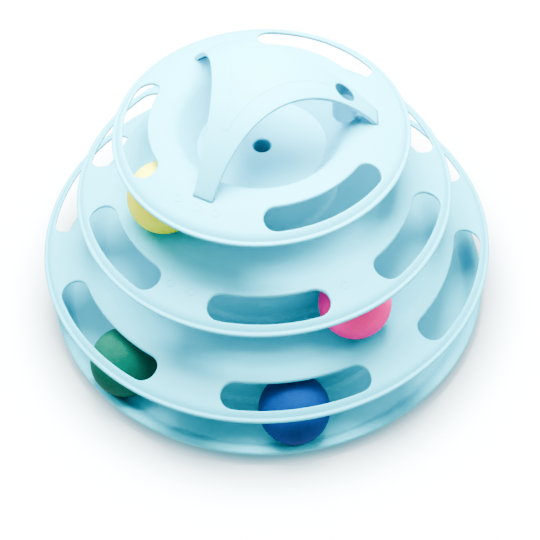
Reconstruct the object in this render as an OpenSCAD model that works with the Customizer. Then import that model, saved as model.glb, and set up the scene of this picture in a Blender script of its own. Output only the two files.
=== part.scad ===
// Cat ball track toy: a base tray and three dished tiers that plug together,
// a three legged safety bar with a wand socket, and four loose balls.
// Millimetres, +Z up, origin at the middle of the footprint on the floor.

/* [Tower] */
// Diameter over the rim of the lowest tier
lower_rim_d = 250.8; // [236:0.2:300]
// How much smaller the rim radius of each tier is than that of the one below it
rim_step = 23.5; // [22.5:0.1:27]
// How far the base tray's rim stands inside the lowest tier's rim, on the radius
tray_inset = 1.7; // [0:0.1:3]
// Wall thickness of every moulded shell
wall = 2.2; // [1.8:0.1:2.6]
// Height of the tray floor's underside above the floor that the toy stands on
foot_lift = 1; // [0.6:0.1:1.6]

/* [Balls] */
// Diameter of a ball
ball_d = 38.5; // [34:0.5:40]
// Running gap between a ball and the floor of its track
ball_gap = 0.3; // [0.2:0.05:0.5]
// Spare height above a ball, over one wall
headroom = 2.2; // [1.5:0.1:4]
// Gap between a ball and the drum that it runs round
drum_gap = 1; // [0.6:0.1:2]
// Distance of the balls' path inside the rim above it
path_inset = 19.7; // [19.4:0.1:20.6]
// Bearing of the yellow ball, counted from the right hand side like all bearings
yellow_bearing = 207; // [150:1:240]
// Bearing of the pink ball
pink_bearing = 303.5; // [280:1:330]
// Bearing of the green ball
green_bearing = 221; // [200:1:235]
// Bearing of the blue ball
blue_bearing = 276; // [262:1:300]

/* [Tier section] */
// Width of the flat lip round each rim
lip_w = 2.3; // [2.2:0.1:3.2]
// Radius of the hollow corner between the lip and the skirt
lip_fillet = 0.6; // [0.4:0.1:0.8]
// Slope of the short skirt above the lip, in degrees
skirt_slope = 50; // [46:1:56]
// Length of the straight part of the skirt
skirt_l = 0.8; // [0.5:0.1:1.5]
// Radius of the shoulder between the skirt and the top
shoulder_r = 7; // [6:0.1:8]
// Slope of the top where the shoulder ends, in degrees
shoulder_slope = 17; // [14:1:20]
// Distance of the crest inside the rim
crest_inset = 26.2; // [25.6:0.1:27]
// Rise of the crest above the end of the shoulder
crest_rise = 4.1; // [3.2:0.1:4.8]
// Radial run from the crest down to the flat track floor
valley_run = 12; // [11:0.5:13]
// Depth of the track floor below the crest
valley_drop = 3; // [2:0.1:3.6]

/* [Tray section] */
// Depth of the tray floor below the middle of its lip
tray_depth = 5; // [4:0.1:6]
// Radial run of the tray's curved wall
tray_run = 9; // [8.5:0.5:10]

/* [Windows] */
// Distance of a window's outer edge inside the rim, in the two lower tiers
window_out = 5.2; // [4.8:0.1:5.6]
// Radial width of a window in the two lower tiers
window_w = 15; // [13.5:0.1:16]
// Distance of a window's outer edge inside the top tier's rim
top_window_out = 5.9; // [5.4:0.1:6.4]
// Radial width of a window in the top tier
top_window_w = 13.4; // [12:0.1:14.5]
// Windows in each of the two lower tiers
windows_low = 6; // [5:1:6]
// Angle from end to end of a window in the two lower tiers
window_span_low = 41; // [34:0.2:44]
// Angle from end to end of a window in the top tier
window_span_top = 60.5; // [50:0.5:64]
// Bearing of the middle of the lower tier's first window
lower_window_bearing = 36.5; // [0:0.1:60]
// Bearing of the middle of the middle tier's first window
middle_window_bearing = 30; // [0:0.1:60]
// Bearing of the bar's first leg; the top tier's windows stand midway between the legs
top_bearing = -0.5; // [-20:0.1:20]

/* [Drums] */
// Radius of the hollow corner at a drum's foot
drum_fillet = 3; // [2.5:0.1:4]
// Radius of the round edge at a drum's top
drum_edge_r = 3; // [2.6:0.1:4]
// How much narrower a drum is at its top, on the radius
drum_draft = 0.8; // [0.4:0.1:1.2]
// Height of the collar that plugs into the next tier
collar_h = 6; // [4:0.5:8]
// Gap round each plugged collar
plug_gap = 0.3; // [0.2:0.05:0.4]
// Height of the snap bead on a collar, on the radius
bead_r = 0.8; // [0.6:0.1:1]
// How deep the snap bead sits in its groove
bead_bite = 0.4; // [0.2:0.05:0.5]

/* [Top bowl] */
// Radius of the rounded brim where the top turns down into the bowl
brim_r = 11; // [9:0.5:12]
// Slope of the bowl's wall, in degrees
bowl_slope = 58.5; // [55:0.5:62]
// Depth of the bowl's floor below the middle of the top rim
bowl_depth = 10.3; // [9:0.1:12]
// Gap between the bowl's wall and the raised disc on its floor
disc_margin = 0.4; // [0.2:0.1:2]
// Depth of the narrow groove round the disc
disc_groove = 0.5; // [0.3:0.1:1]

/* [Wand sockets] */
// Diameter of the two holes that a teaser wand plugs into
wand_d = 9.6; // [8:0.1:10]
// Wall of the wand sockets
wand_wall = 1.7; // [1.4:0.1:2]
// Length of the socket under the bowl's floor
bowl_socket_l = 16; // [12:0.5:20]
// Chamfer round the mouth of the socket in the bowl
mouth_chamfer = 0.7; // [0.4:0.1:1]
// Radius of the round edge at the foot of the bar's socket
socket_foot_r = 4; // [3:0.5:4.5]
// Distance of the bar's socket inside the outer face of its leg
bar_socket_inset = 17; // [15.5:0.5:18.5]

/* [Safety bar] */
// Distance of the outer face of each leg inside the top rim
leg_inset = 17.9; // [17.5:0.1:20]
// Width of a leg where it enters the top tier
leg_w = 11; // [9:0.1:12]
// Height of the crown above the legs' feet
crown_h = 35.8; // [30:0.1:40]
// Height of the legs' shoulders above the top rim's middle
leg_rise = 8.5; // [8:0.1:10]
// How far each long side is drawn in from a straight line between two legs
side_draw = 11; // [9:0.1:13]
// Thickness of the bar
bar_t = 2.4; // [2:0.1:2.8]
// Width of the margin between the bar's long sides and the crown panel
panel_margin = 10; // [9:0.1:13]
// How far the crown panel's points stop short of the legs' outer faces
panel_short = 25; // [21:0.5:27]
// How far the crown panel stands proud
panel_rise = 0.3; // [0.2:0.1:0.8]
// Power of the curve that the bar follows from crown to leg
bar_power_share = 2.2; // [2:0.05:2.6]
// Gap round each leg in its slot
leg_gap = 0.3; // [0.2:0.05:0.4]
// How far the hook under each leg reaches out
hook_reach = 1.1; // [0.8:0.1:1.2]
// Height of the hook
hook_h = 1.3; // [1:0.1:1.4]

/* [Feet] */
// Number of foot pads
pad_count = 6; // [5:1:6]
// Diameter of a foot pad
pad_d = 14; // [10:0.5:16]
// Depth of the recess that holds a pad
pad_recess = 0.8; // [0.6:0.1:1]
// Gap round a pad in its recess
pad_gap = 0.3; // [0.2:0.05:0.4]

/* [Hidden] */
$fn = 96;

aqua = "paleturquoise";
ball_r = ball_d / 2;
lip_r = wall / 2;
overrun = wall * 5;
TIERS = 3;

// Heights and radii of the rims, counted from the lowest tier at 0.
tray_z = foot_lift + wall + tray_depth;
tier_pitch = ball_d + wall + headroom;
shoulder_in = shoulder_point(0, 0)[0];
shoulder_up = shoulder_point(0, 0)[1];
floor_rise = shoulder_up + crest_rise - valley_drop;
first_rim_z = tray_z - tray_depth + tier_pitch - floor_rise;
function rim_r(tier) = lower_rim_d / 2 - rim_step * tier;
function rim_z(tier) = first_rim_z + tier_pitch * tier;
function path_r(tier) = rim_r(tier) - path_inset;
function track_z(level) = level == 0 ? foot_lift + wall : rim_z(level - 1) + floor_rise;
function drum_r(level) = path_r(level) - ball_r - drum_gap;
function seat_z(level) = level < TIERS - 1 ? track_z(level + 1) - wall : bowl_low;

// An arc from one angle to another, and a run that eases from one point to the next.
function arc(c, r, from, to, n) =
    [for (i = [0 : n]) let (a = from + (to - from) * i / n) [c[0] + r * cos(a), c[1] + r * sin(a)]];
function ease(p, q, n) =
    [for (i = [0 : n]) let (t = i / n, share = (1 - cos(180 * t)) / 2)
        [p[0] + (q[0] - p[0]) * t, p[1] + (q[1] - p[1]) * share]];
function climb(p, q, n) =
    [for (i = [0 : n]) let (t = i / n) [p[0] + (q[0] - p[0]) * t, p[1] + (q[1] - p[1]) * sin(90 * t)]];

// A path moved sideways by a distance, to its left, mitred at each corner.
function unit(v) = v / norm(v);
function left(v) = [-v[1], v[0]];
function mitre(p, i) =
    let (a = left(unit(p[max(i, 1)] - p[max(i, 1) - 1])),
         b = left(unit(p[min(i + 1, len(p) - 1)] - p[min(i + 1, len(p) - 1) - 1])))
    (a + b) / (1 + a * b);
function moved(p, d) = [for (i = [0 : len(p) - 1]) p[i] + d * mitre(p, i)];
function reversed(p) = [for (i = [len(p) - 1 : -1 : 0]) p[i]];

// Where the skirt starts, and where the shoulder hands over to the gently sloping top.
function skirt_foot(r, z) =
    [r - lip_w + lip_fillet * (1 - sin(skirt_slope)), z + lip_r + lip_fillet * (1 - cos(skirt_slope))];
function shoulder_centre(r, z) =
    skirt_foot(r, z) + skirt_l * [-cos(skirt_slope), sin(skirt_slope)]
    - shoulder_r * [sin(skirt_slope), cos(skirt_slope)];
function shoulder_point(r, z) =
    shoulder_centre(r, z) + shoulder_r * [sin(shoulder_slope), cos(shoulder_slope)];

// The top line of a tier from its rim to its crest, for a rim of radius r at height z.
function rim_line(r, z) = concat(
    [[r - lip_r, z + lip_r]],
    arc([r - lip_w + lip_fillet, z + lip_r + lip_fillet], lip_fillet, 270, 270 - skirt_slope, 4),
    arc(shoulder_centre(r, z), shoulder_r, 90 - skirt_slope, 90 - shoulder_slope, 6),
    [for (p = climb(shoulder_point(r, z), crest(r, z), 5)) if (p[0] < shoulder_point(r, z)[0]) p]);
function crest(r, z) = [r - crest_inset, z + shoulder_up + crest_rise];

// Height of a tier's top above its rim's middle, at a distance inside the rim.
function top_rise(inset) =
    shoulder_up + crest_rise * sin(90 * (inset + shoulder_in) / (crest_inset + shoulder_in));

// A drum that stands on a track floor and ends in a flat top with a hole in it.
function drum_line(level) =
    let (r = drum_r(level), low = track_z(level), high = seat_z(level), tip = r - drum_draft)
    concat(arc([r + drum_fillet, low + drum_fillet], drum_fillet, 270, 180, 4),
           arc([tip - drum_edge_r, high - drum_edge_r], drum_edge_r, 0, 90, 4),
           [[hole_r(level), high]]);
function hole_r(level) = level < TIERS - 1 ? collar_r(level) - wall : plug_r + plug_gap;

// The skirt that plugs the bowl into the last drum stands midway between drum and socket.
socket_r = wand_d / 2 + wand_wall;
plug_r = (drum_r(TIERS - 1) + socket_r) / 2;

// A collar on a drum fits inside the hollow of the next drum, less the gap.
function collar_r(level) = drum_r(level + 1) - wall - plug_gap;

// Two lower tiers: rim, crest, flat track and drum. The tray has its own rim.
function tier_line(tier) =
    let (r = rim_r(tier), z = rim_z(tier), c = crest(r, z))
    concat(rim_line(r, z),
           [for (p = ease(c, [c[0] - valley_run, track_z(tier + 1)], 6)) if (p[0] < c[0]) p],
           drum_line(tier + 1));
function tray_line() =
    let (r = rim_r(0) - tray_inset, lip_in = r - lip_w)
    concat([[r - lip_r, tray_z + lip_r]],
           ease([lip_in, tray_z + lip_r], [lip_in - tray_run, foot_lift + wall], 8),
           drum_line(0));

// The top tier turns down over its brim into the bowl instead.
bowl_z = rim_z(TIERS - 1) - bowl_depth;
bowl_low = bowl_z - disc_groove - wall;
function brim_centre() = crest(rim_r(TIERS - 1), rim_z(TIERS - 1)) - [0, brim_r];
function brim_end() = brim_centre() + brim_r * [-sin(bowl_slope), cos(bowl_slope)];
bowl_foot_r = brim_end()[0] - (brim_end()[1] - bowl_z + disc_groove) / tan(bowl_slope);
disc_r = bowl_foot_r - disc_margin;
function top_line() = concat(
    rim_line(rim_r(TIERS - 1), rim_z(TIERS - 1)),
    [for (p = arc(brim_centre(), brim_r, 90, 90 + bowl_slope, 8)) if (p[0] < brim_centre()[0]) p],
    [[bowl_foot_r, bowl_z - disc_groove], [wand_d / 2, bowl_z - disc_groove]]);

// Closes a line into the section of a shell with a rounded lip.
module shell_section(line, r, z) {
    polygon(concat(line, reversed(moved(line, wall)), arc([r - lip_r, z], lip_r, -90, 90, 6)));
}

// A collar on top of a drum, with a snap bead near its upper end.
module collar_section(level) {
    r = collar_r(level);
    low = seat_z(level) - wall;
    translate([r - wall, low]) square([wall, wall + collar_h]);
    translate([r - bead_r + bead_bite, bead_z(level)]) circle(bead_r, $fn = 24);
}
function bead_z(level) = seat_z(level) + collar_h - bead_r * 2;

// The groove that takes the bead of the drum below.
module bead_groove(level) {
    translate([collar_r(level) - bead_r + bead_bite, bead_z(level)]) circle(bead_r + plug_gap, $fn = 24);
}

// One window in plan: an arc with round ends, centred on a bearing.
module window_plan(r_in, r_out, bearing, span) {
    mid_r = (r_in + r_out) / 2;
    end_r = (r_out - r_in) / 2;
    half = span / 2 - asin(end_r / mid_r);
    rotate(bearing) {
        intersection() {
            difference() {
                circle(r_out, $fn = 180);
                circle(r_in, $fn = 180);
            }
            polygon([[0, 0], 2 * r_out * [cos(half), -sin(half)], 2 * r_out * [cos(half), sin(half)]]);
        }
        for (side = [-1, 1])
            rotate(side * half) translate([mid_r, 0]) circle(end_r, $fn = 48);
    }
}

// All windows of a tier, cut straight down through its sloping top. They start at
// the inset from its rim and are w wide.
module windows(tier, count, bearing, span, inset, w) {
    low = rim_z(tier) - wall;
    high = rim_z(tier) + shoulder_up + crest_rise + wall;
    outer_r = rim_r(tier) - inset;
    translate([0, 0, low]) linear_extrude(high - low)
        for (i = [0 : count - 1])
            window_plan(outer_r - w, outer_r, bearing + i * 360 / count, span);
}

// Pads stand under the flat of the tray floor, midway between its drum and its wall.
pad_ring_r = path_r(0) - pad_d / 2;
module pad_place(i) {
    rotate(i * 360 / pad_count) translate([pad_ring_r, 0]) children();
}

module base_tray() {
    color(aqua) difference() {
        rotate_extrude($fn = 180) {
            shell_section(tray_line(), rim_r(0) - tray_inset, tray_z);
            collar_section(0);
        }
        for (i = [0 : pad_count - 1])
            pad_place(i) translate([0, 0, foot_lift - overrun])
                cylinder(h = overrun + pad_recess, d = pad_d + 2 * pad_gap, $fn = 48);
    }
}

// The lower or the middle tier. Its drum takes the collar of the drum below.
module ring_tier(tier, bearing) {
    color(aqua) difference() {
        rotate_extrude($fn = 180) difference() {
            union() {
                shell_section(tier_line(tier), rim_r(tier), rim_z(tier));
                if (tier < TIERS - 2) collar_section(tier + 1);
            }
            bead_groove(tier);
        }
        windows(tier, windows_low, bearing, window_span_low, window_out, window_w);
    }
}

module lower_tier() {
    ring_tier(0, lower_window_bearing);
}

module middle_tier() {
    ring_tier(1, middle_window_bearing);
}

// The bar's legs stand inside the top rim, and its socket inside the first leg.
leg_reach = rim_r(TIERS - 1) - leg_inset;
bar_socket_reach = leg_reach - bar_socket_inset;
crown_inset = leg_reach * cos(60 - asin(leg_w / 2 / leg_reach)) - side_draw;

// A leg's slot leaves the gap on every side, and the hook springs out below it.
slot_in = leg_reach - bar_t - leg_gap;
slot_out = leg_reach + leg_gap;
module leg_slots() {
    for (i = [0 : TIERS - 1])
        rotate(top_bearing + i * 120)
            translate([slot_in, -leg_w / 2 - leg_gap, rim_z(TIERS - 1) - wall])
                cube([slot_out - slot_in, leg_w + 2 * leg_gap, wall + shoulder_up + crest_rise + wall]);
}

module top_section() {
    shell_section(top_line(), rim_r(TIERS - 1), rim_z(TIERS - 1));
    translate([0, bowl_low]) square([disc_r, bowl_z - bowl_low]);
    translate([plug_r - wall, bowl_low - collar_h]) square([wall, collar_h + wall]);
    translate([plug_r - bead_r + bead_bite + plug_gap, bowl_low - wall - bead_r - plug_gap])
        circle(bead_r, $fn = 24);
    translate([0, bowl_low + wall - bowl_socket_l]) square([socket_r, bowl_socket_l]);
}

module top_tier() {
    color(aqua) difference() {
        rotate_extrude($fn = 180) top_section();
        translate([0, 0, bowl_z - bowl_socket_l - overrun])
            cylinder(h = bowl_socket_l + 2 * overrun, d = wand_d, $fn = 96);
        translate([0, 0, bowl_z - mouth_chamfer])
            cylinder(h = 2 * mouth_chamfer, d1 = wand_d, d2 = wand_d + 4 * mouth_chamfer, $fn = 96);
        windows(TIERS - 1, 3, top_bearing + 60, window_span_top, top_window_out, top_window_w);
        leg_slots();
    }
}

// Height of the bar's outer face at a distance from the middle.
bar_foot_z = rim_z(TIERS - 1) + leg_rise;
function bar_z(r) = bar_foot_z + crown_h * (1 - pow(r / leg_reach, bar_power_share));

// The dome that the bar is cut from, as a line from its foot to its crown.
dome_line = [for (i = [0 : 14]) let (r = leg_reach * (1 - i / 14)) [r, bar_z(r)]];

// A three pointed star in plan, whose sides are one shallow arc from point to point.
// It reaches out by reach, its points are end_w wide and its sides pass the middle at inset.
module star_plan(reach, end_w, inset) {
    half = 60 - asin(end_w / 2 / reach);
    side_mid = (reach * reach - inset * inset) / 2 / (reach * cos(half) - inset);
    difference() {
        circle(reach, $fn = 96);
        for (i = [0 : 2])
            rotate(60 + i * 120) translate([side_mid, 0]) circle(side_mid - inset, $fn = 180);
    }
}

// A shell that follows the dome, from one depth under its outer face to another.
module dome_shell(top, low) {
    outer = moved(dome_line, top);
    inner = moved(dome_line, low);
    rotate_extrude($fn = 180)
        polygon([for (p = concat(outer, reversed(inner))) [max(p[0], 0), p[1]]]);
}

// A shell cut to a star in plan.
module star_shell(top, low, reach, end_w, inset) {
    intersection() {
        dome_shell(top, low);
        translate([0, 0, rim_z(TIERS - 1)])
            linear_extrude(leg_rise + crown_h + overrun) star_plan(reach, end_w, inset);
    }
}

// The foot of the bar's socket is level with the crest beside it.
socket_low = rim_z(TIERS - 1) + shoulder_up + crest_rise;
crown_z = bar_foot_z + crown_h;

// The socket's closed tube ends inside the thickness of the leg that it hangs from.
module bar_socket() {
    foot_centre = [socket_r - socket_foot_r, socket_low + socket_foot_r];
    under_dome = concat(moved(dome_line, bar_t / 2), [[0, 0], [leg_reach, 0]]);
    intersection() {
        translate([bar_socket_reach, 0, 0]) rotate_extrude($fn = 64)
            polygon(concat([[0, socket_low]],
                           arc(foot_centre, socket_foot_r, 270, 360, 6),
                           [[socket_r, crown_z], [0, crown_z]]));
        rotate_extrude($fn = 180)
            polygon([for (p = under_dome) [max(p[0], 0), p[1]]]);
    }
}

module safety_bar() {
    hook_top = rim_z(TIERS - 1) + top_rise(leg_inset - hook_reach) - wall - leg_gap;
    hook = [[0, 0], [bar_t + hook_reach, 0], [bar_t, -hook_h], [0, -hook_h]];
    panel_reach = leg_reach - panel_short;
    color(aqua) rotate(top_bearing) difference() {
        union() {
            star_shell(0, bar_t, leg_reach, leg_w, crown_inset);
            star_shell(-panel_rise, bar_t / 2, panel_reach, leg_w / 4, crown_inset - panel_margin);
            for (i = [0 : 2]) rotate(i * 120) {
                translate([leg_reach - bar_t, -leg_w / 2, hook_top - hook_h])
                    cube([bar_t, leg_w, bar_foot_z - hook_top + hook_h]);
                translate([leg_reach - bar_t, leg_w / 2, hook_top]) rotate([90, 0, 0])
                    linear_extrude(leg_w) polygon(hook);
            }
            bar_socket();
        }
        translate([bar_socket_reach, 0, socket_low + wand_wall])
            cylinder(h = crown_h + overrun, d = wand_d, $fn = 64);
    }
}

module ball(level, bearing, tint) {
    rotate(bearing) translate([path_r(level), 0, track_z(level) + ball_gap + ball_r])
        color(tint) sphere(ball_r, $fn = 96);
}

module yellow_ball() {
    ball(2, yellow_bearing, "khaki");
}

module pink_ball() {
    ball(1, pink_bearing, "hotpink");
}

module green_ball() {
    ball(0, green_bearing, "lightseagreen");
}

module blue_ball() {
    ball(0, blue_bearing, "royalblue");
}

module foot_pad(i) {
    pad_place(i) color("dimgray") cylinder(h = foot_lift + pad_recess, d = pad_d, $fn = 48);
}

base_tray();
lower_tier();
middle_tier();
top_tier();
safety_bar();
yellow_ball();
pink_ball();
green_ball();
blue_ball();
foot_pad(0);  // foot_pad_1
foot_pad(1);  // foot_pad_2
foot_pad(2);  // foot_pad_3
foot_pad(3);  // foot_pad_4
foot_pad(4);  // foot_pad_5
foot_pad(5);  // foot_pad_6
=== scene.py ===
"""Dresses the cat ball track toy: moulded tiers, safety bar, balls and pads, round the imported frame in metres."""
import logging
import math
from dataclasses import dataclass
from enum import Enum
from typing import Optional, Sequence

import bmesh
import bpy
from mathutils import Matrix, Vector


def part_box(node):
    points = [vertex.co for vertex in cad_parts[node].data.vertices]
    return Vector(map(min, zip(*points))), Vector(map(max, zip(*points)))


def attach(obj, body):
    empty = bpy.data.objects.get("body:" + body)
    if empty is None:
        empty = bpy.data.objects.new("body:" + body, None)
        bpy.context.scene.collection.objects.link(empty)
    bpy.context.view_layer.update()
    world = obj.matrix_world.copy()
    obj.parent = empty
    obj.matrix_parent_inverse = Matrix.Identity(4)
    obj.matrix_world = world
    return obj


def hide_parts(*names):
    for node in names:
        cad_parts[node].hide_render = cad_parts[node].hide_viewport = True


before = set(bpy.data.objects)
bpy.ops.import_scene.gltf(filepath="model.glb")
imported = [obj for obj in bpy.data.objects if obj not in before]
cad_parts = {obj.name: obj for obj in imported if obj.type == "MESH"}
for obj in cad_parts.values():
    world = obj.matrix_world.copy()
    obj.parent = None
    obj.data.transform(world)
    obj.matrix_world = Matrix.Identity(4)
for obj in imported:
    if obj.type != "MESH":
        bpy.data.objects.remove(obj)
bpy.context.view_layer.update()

LOG = logging.getLogger("ball_tower")
Colour = tuple[float, float, float]
Place = tuple[float, float, float]
WHITE: Colour = (1, 1, 1)
MM = 0.001
MERGE_MM = 0.001
SHARP_DEGREES = 40.0
TOWER = "tower"
PLASTIC = "tower_plastic"
LEGS = 3
LEG_HALF = 180 / LEGS
PADS = 6

# Segments in the rounded parts of a section
CURVE_STEPS = 10
FILLET_STEPS = 6
DRUM_STEPS = 8
WALL_STEPS = 14

# Detail of a noise pattern
PLAIN, SOFT, RICH = 1.0, 2.0, 3.0


# Plane geometry of the sections

def polar(radius: float, degrees: float) -> Vector:
    """Returns the plane point at that radius and bearing."""
    angle = math.radians(degrees)
    return Vector((radius * math.cos(angle), radius * math.sin(angle)))


def arc(centre: Vector, radius: float, start: float, end: float, steps: int) -> list[Vector]:
    """Returns steps + 1 points on an arc, from one bearing in degrees to another."""
    return [centre + polar(radius, start + (end - start) * i / steps) for i in range(steps + 1)]


def eased(start: Vector, end: Vector, steps: int) -> list[Vector]:
    """Returns steps + 1 points of a run that leaves its start level and arrives at its end level."""
    return [Vector((start.x + (end.x - start.x) * i / steps,
                    start.y + (end.y - start.y) * (1 - math.cos(math.pi * i / steps)) / 2))
            for i in range(steps + 1)]


def moved(line: Sequence[Vector], distance: float) -> list[Vector]:
    """Moves an open line sideways.

    Args:
        line: the points of the line.
        distance: how far each point goes to the left of the line's direction, mitred at corners.

    Returns:
        As many points as the line has.
    """
    def normal(i: int) -> Vector:
        """Returns the left-hand normal of one segment."""
        along = (line[i + 1] - line[i]).normalized()
        return Vector((-along.y, along.x))

    result = []
    for i, point in enumerate(line):
        before, after = normal(max(i - 1, 0)), normal(min(i, len(line) - 2))
        result.append(point + (before + after) * (distance / (1 + before.dot(after))))
    return result


def rounded(corners: Sequence[tuple[float, float, float]], steps: int = 5) -> list[Vector]:
    """Rounds the corners of an open line.

    Args:
        corners: x, y and corner radius of each point; the radius of both ends is ignored.
        steps: segments in each rounded corner.

    Returns:
        The points of the rounded line.
    """
    points = [Vector((x, y)) for x, y, _ in corners]
    line = [points[0]]
    for i in range(1, len(points) - 1):
        radius = corners[i][2]
        if not radius:
            line.append(points[i])
            continue
        back, on = (points[i - 1] - points[i]).normalized(), (points[i + 1] - points[i]).normalized()
        half = back.angle(on) / 2
        centre = points[i] + (back + on).normalized() * (radius / math.sin(half))
        first = points[i] + back * (radius / math.tan(half)) - centre
        last = points[i] + on * (radius / math.tan(half)) - centre
        start = math.degrees(math.atan2(first.y, first.x))
        line += arc(centre, radius, start, start - math.degrees(first.angle_signed(last)), steps)
    return line + [points[-1]]


def height_at(line: Sequence[Vector], radius: float) -> float:
    """Finds the height of a section's line at a radius.

    Args:
        line: the points of the line, which runs inwards.
        radius: the distance from the axis.

    Returns:
        The height there.
    """
    for outer, inner in zip(line, line[1:]):
        if inner.x <= radius <= outer.x and outer.x > inner.x:
            return outer.y + (inner.y - outer.y) * ((outer.x - radius) / (outer.x - inner.x))
    raise ValueError(f"no height at radius {radius}")


# Sizes of the toy, in millimetres

@dataclass(frozen=True)
class TowerSizes:
    """The driving sizes of the tower, which are those of its solids."""
    rim: float = 125.4
    rim_step: float = 23.5
    tray_inset: float = 1.7
    wall: float = 2.2
    foot_lift: float = 1.0
    ball_d: float = 38.5
    headroom: float = 2.2
    drum_gap: float = 1.0
    path_inset: float = 19.7
    lip_w: float = 2.3
    lip_fillet: float = 0.6
    skirt_slope: float = 50.0
    skirt_l: float = 0.8
    shoulder_r: float = 7.0
    shoulder_slope: float = 17.0
    crest_inset: float = 26.2
    crest_rise: float = 4.1
    valley_run: float = 12.0
    valley_drop: float = 3.0
    tray_depth: float = 5.0
    tray_run: float = 9.0
    window_out: float = 5.2
    window_w: float = 15.0
    drum_fillet: float = 3.0
    drum_edge_r: float = 3.0
    drum_draft: float = 0.8
    collar_h: float = 6.0
    plug_gap: float = 0.3
    bead_r: float = 0.8
    bead_bite: float = 0.4
    wand_d: float = 9.6
    wand_wall: float = 1.7
    tiers: int = 3

    @property
    def lip_r(self) -> float:
        """Radius of the rounded lip."""
        return self.wall / 2

    @property
    def tray_z(self) -> float:
        """Height of the middle of the tray's lip."""
        return self.foot_lift + self.wall + self.tray_depth

    @property
    def pitch(self) -> float:
        """Height from one track to the next."""
        return self.ball_d + self.wall + self.headroom

    @property
    def bore_r(self) -> float:
        """Inner radius of a wand socket."""
        return self.wand_d / 2

    @property
    def socket_r(self) -> float:
        """Outer radius of a wand socket."""
        return self.wand_d / 2 + self.wand_wall

    @property
    def floor_rise(self) -> float:
        """Height of a tier's track floor above the middle of its rim."""
        return self.shoulder_end(0, 0).y + self.crest_rise - self.valley_drop

    def rim_r(self, tier: int) -> float:
        """Returns the radius of a tier's rim."""
        return self.rim - self.rim_step * tier

    def rim_z(self, tier: int) -> float:
        """Returns the height of the middle of a tier's rim."""
        return self.tray_z - self.tray_depth + self.pitch - self.floor_rise + self.pitch * tier

    def track_z(self, level: int) -> float:
        """Returns the height of a level's track floor."""
        return self.foot_lift + self.wall if level == 0 else self.rim_z(level - 1) + self.floor_rise

    def drum_r(self, level: int) -> float:
        """Returns the radius of a level's drum at its foot."""
        return self.rim_r(level) - self.path_inset - self.ball_d / 2 - self.drum_gap

    def seat_z(self, level: int) -> float:
        """Returns the height of a drum's flat top, on which the next tier sits."""
        return self.track_z(level + 1) - self.wall

    def collar_r(self, level: int) -> float:
        """Returns the outer radius of the collar on a level's drum."""
        return self.drum_r(level + 1) - self.wall - self.plug_gap

    def top_rise(self, inset: float) -> float:
        """Finds how high a tier's top stands above its rim's middle.

        Args:
            inset: the distance inside the rim.

        Returns:
            The height.
        """
        start = self.shoulder_end(0, 0)
        share = (inset + start.x) / (self.crest_inset + start.x)
        return start.y + self.crest_rise * math.sin(math.pi / 2 * share)

    def lip_centre(self, r: float, z: float) -> Vector:
        """Returns the centre of the small fillet behind the lip of a rim at radius r and height z."""
        return Vector((r - self.lip_w, z + self.lip_r)) + Vector((self.lip_fillet, self.lip_fillet))

    def shoulder_centre(self, r: float, z: float) -> Vector:
        """Finds the centre of a rim's rounded shoulder.

        Args:
            r: the rim's radius.
            z: the height of the rim's middle.

        Returns:
            The centre in the plane of the section.
        """
        slope = math.radians(self.skirt_slope)
        foot = self.lip_centre(r, z)
        foot -= Vector((math.sin(slope), math.cos(slope))) * self.lip_fillet
        skirt = polar(self.skirt_l, 180 - self.skirt_slope)
        return foot + skirt - polar(self.shoulder_r, 90 - self.skirt_slope)

    def shoulder_end(self, r: float, z: float) -> Vector:
        """Returns the point where the shoulder hands over to the gently sloping top."""
        return self.shoulder_centre(r, z) + polar(self.shoulder_r, 90 - self.shoulder_slope)

    def crest(self, tier: int) -> Vector:
        """Returns the crest of a tier's section."""
        return Vector((self.rim_r(tier) - self.crest_inset,
                       self.rim_z(tier) + self.shoulder_end(0, 0).y + self.crest_rise))

    def rim_line(self, tier: int) -> list[Vector]:
        """Draws a tier's top line from its lip to its crest.

        Args:
            tier: the tier's number.

        Returns:
            The points from the outside in.
        """
        r, z, crest = self.rim_r(tier), self.rim_z(tier), self.crest(tier)
        start = self.shoulder_end(r, z)
        line = [Vector((r - self.lip_r, z + self.lip_r))]
        line += arc(self.lip_centre(r, z), self.lip_fillet, 270, 270 - self.skirt_slope, FILLET_STEPS)
        line += arc(self.shoulder_centre(r, z), self.shoulder_r, 90 - self.skirt_slope,
                    90 - self.shoulder_slope, CURVE_STEPS)
        for i in range(1, CURVE_STEPS + 1):
            share = i / CURVE_STEPS
            line.append(Vector((start.x + (crest.x - start.x) * share,
                                start.y + (crest.y - start.y) * math.sin(math.pi / 2 * share))))
        return line

    def lip_arc(self, r: float, z: float) -> list[Vector]:
        """Returns the points round a lip, between its lower and its upper line."""
        return arc(Vector((r - self.lip_r, z)), self.lip_r, -90, 90, CURVE_STEPS)[1:-1]

    def drum_line(self, level: int, seat: float, hole_r: float) -> list[Vector]:
        """Draws the upper line of a drum, from the fillet at its foot to the hole in its top.

        Args:
            level: the level that the drum stands on.
            seat: the height of its flat top.
            hole_r: the radius of the hole.

        Returns:
            The points from the outside in.
        """
        radius, low = self.drum_r(level), self.track_z(level)
        foot = Vector((radius + self.drum_fillet, low + self.drum_fillet))
        edge = Vector((radius - self.drum_draft - self.drum_edge_r, seat - self.drum_edge_r))
        return (arc(foot, self.drum_fillet, 270, 180, DRUM_STEPS) + arc(edge, self.drum_edge_r, 0, 90, DRUM_STEPS)
                + [Vector((hole_r, seat))])

    def collar_hole(self, level: int) -> float:
        """Returns the inner radius of the collar on a level's drum."""
        return self.collar_r(level) - self.wall

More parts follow.
